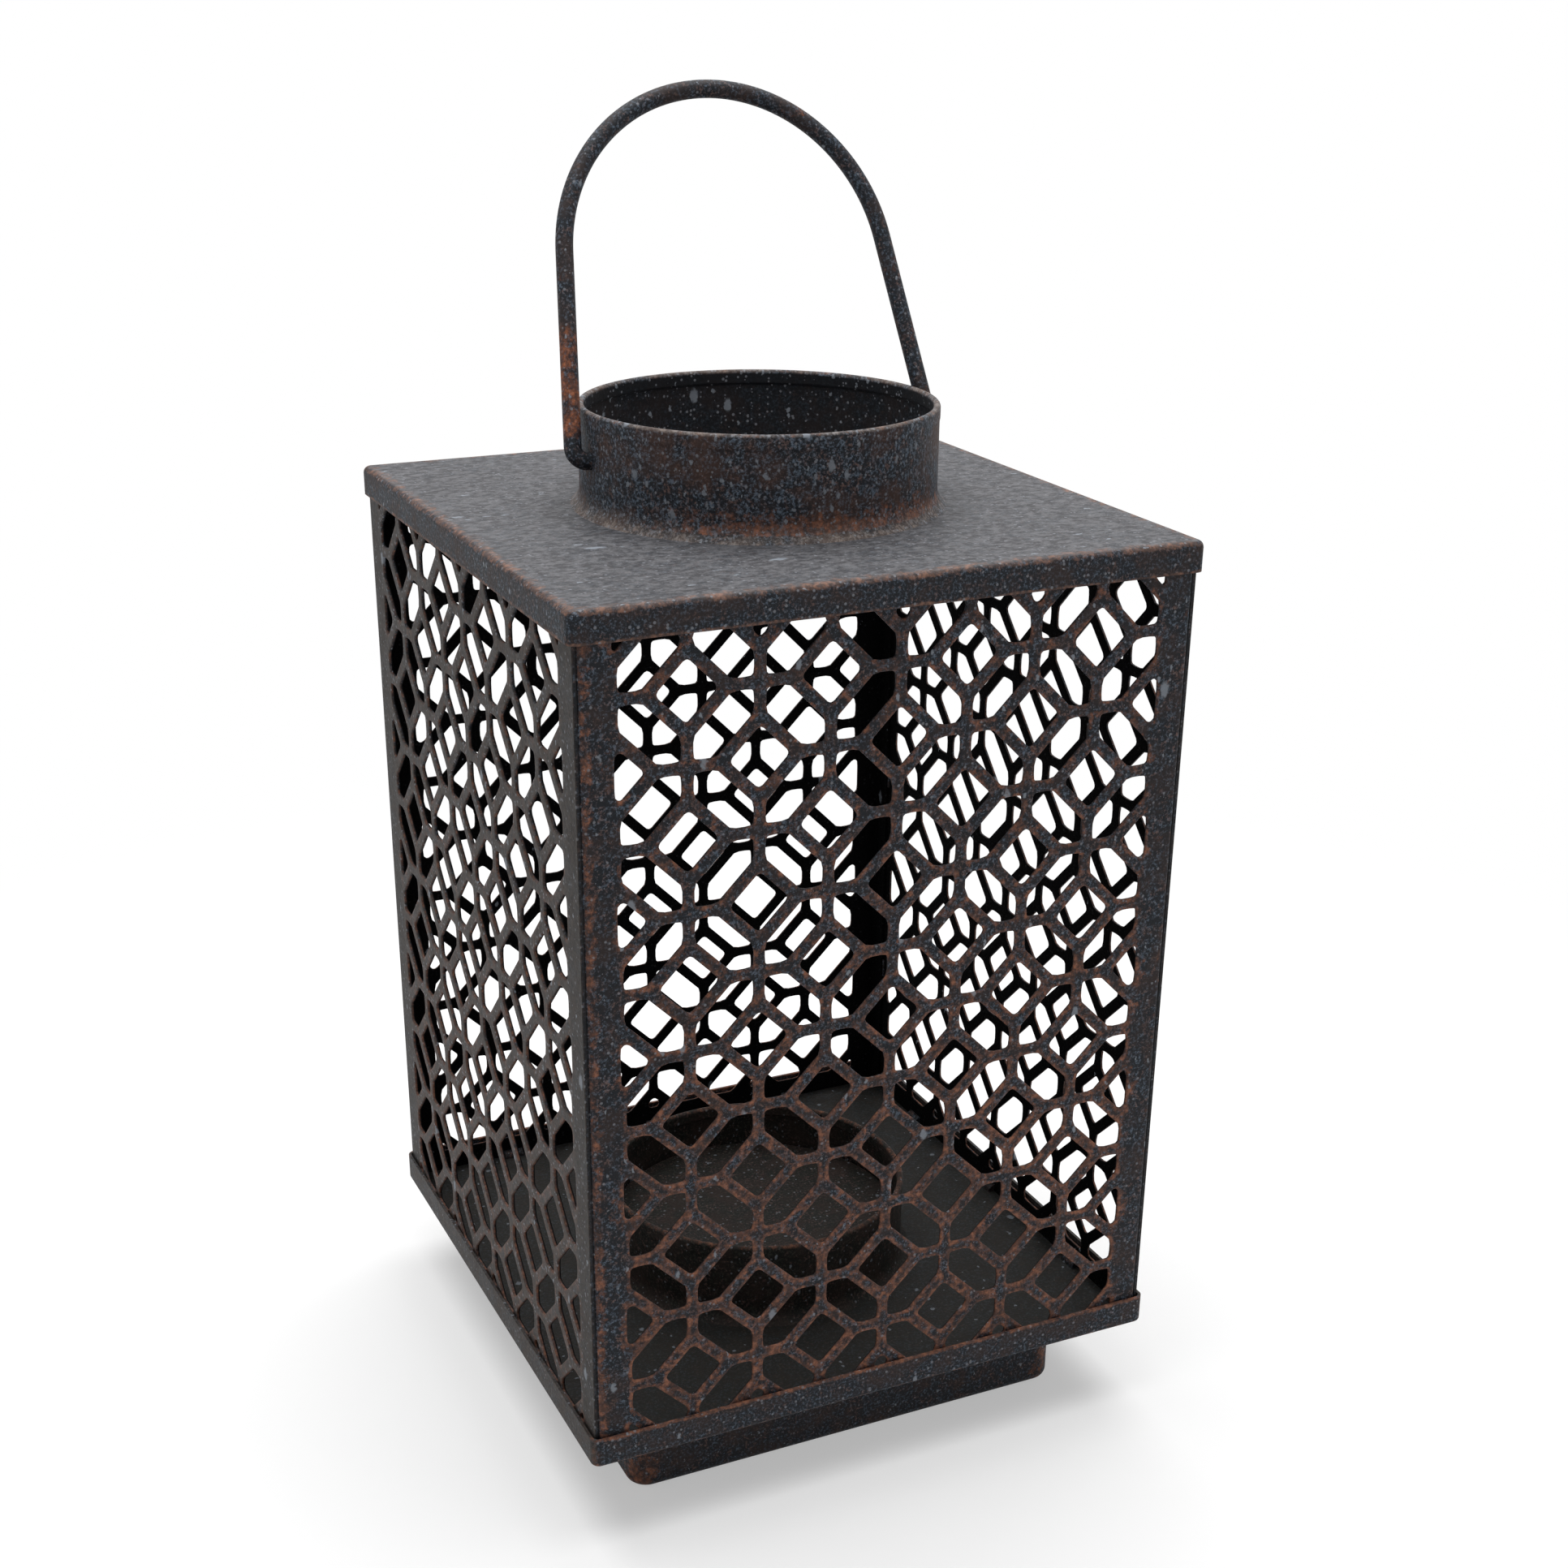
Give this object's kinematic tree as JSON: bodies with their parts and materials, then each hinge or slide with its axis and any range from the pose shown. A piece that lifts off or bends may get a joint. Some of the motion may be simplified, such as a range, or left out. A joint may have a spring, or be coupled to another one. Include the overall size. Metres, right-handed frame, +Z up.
{
  "type": "candle lantern",
  "caption": "Square pierced sheet-metal candle lantern: lattice panels in a shallow tray on a foot, a flat lid with a round open collar, a swinging wire bail and a round candle cup inside.",
  "frame": {"origin": "centre of the foot's underside, on the surface that the lantern stands on", "axes": "+Z up, -Y towards the front panel, +X along the bail's pivot axis to the right"},
  "size_m": [0.1664, 0.1664, 0.3518],
  "materials": {
    "panel_paint": "matte charcoal with pale flecks and rust-coloured edges",
    "lid_paint": "matte mottled grey with brown edges",
    "collar_paint": "matte charcoal with pale flecks",
    "tray_paint": "matte charcoal with rust-coloured lip",
    "foot_paint": "matte charcoal",
    "cup_paint": "matte olive charcoal",
    "bail_paint": "charcoal worn to a copper rust tone",
    "weld": "painted over, matte"
  },
  "bodies": {
    "lantern": {"foot_pan": "foot_paint", "base_tray": "tray_paint", "front_panel": "panel_paint", "back_panel": "panel_paint", "left_panel": "panel_paint", "right_panel": "panel_paint", "lid": "lid_paint", "collar": "collar_paint", "candle_ring": "cup_paint", "candle_plate": "cup_paint", "tray_welds": "weld", "lid_welds": "weld", "seam_welds": "weld", "collar_welds": "weld", "candle_ring_welds": "weld"},
    "handle": {"bail_handle": "bail_paint"}
  },
  "joints": [
    {"name": "bail_hinge", "type": "hinge", "parent": "lantern", "child": "handle", "pos_m": [0, 0, 0.26453], "axis": [1, 0, 0], "range_deg": [-76, 120]}
  ]
}
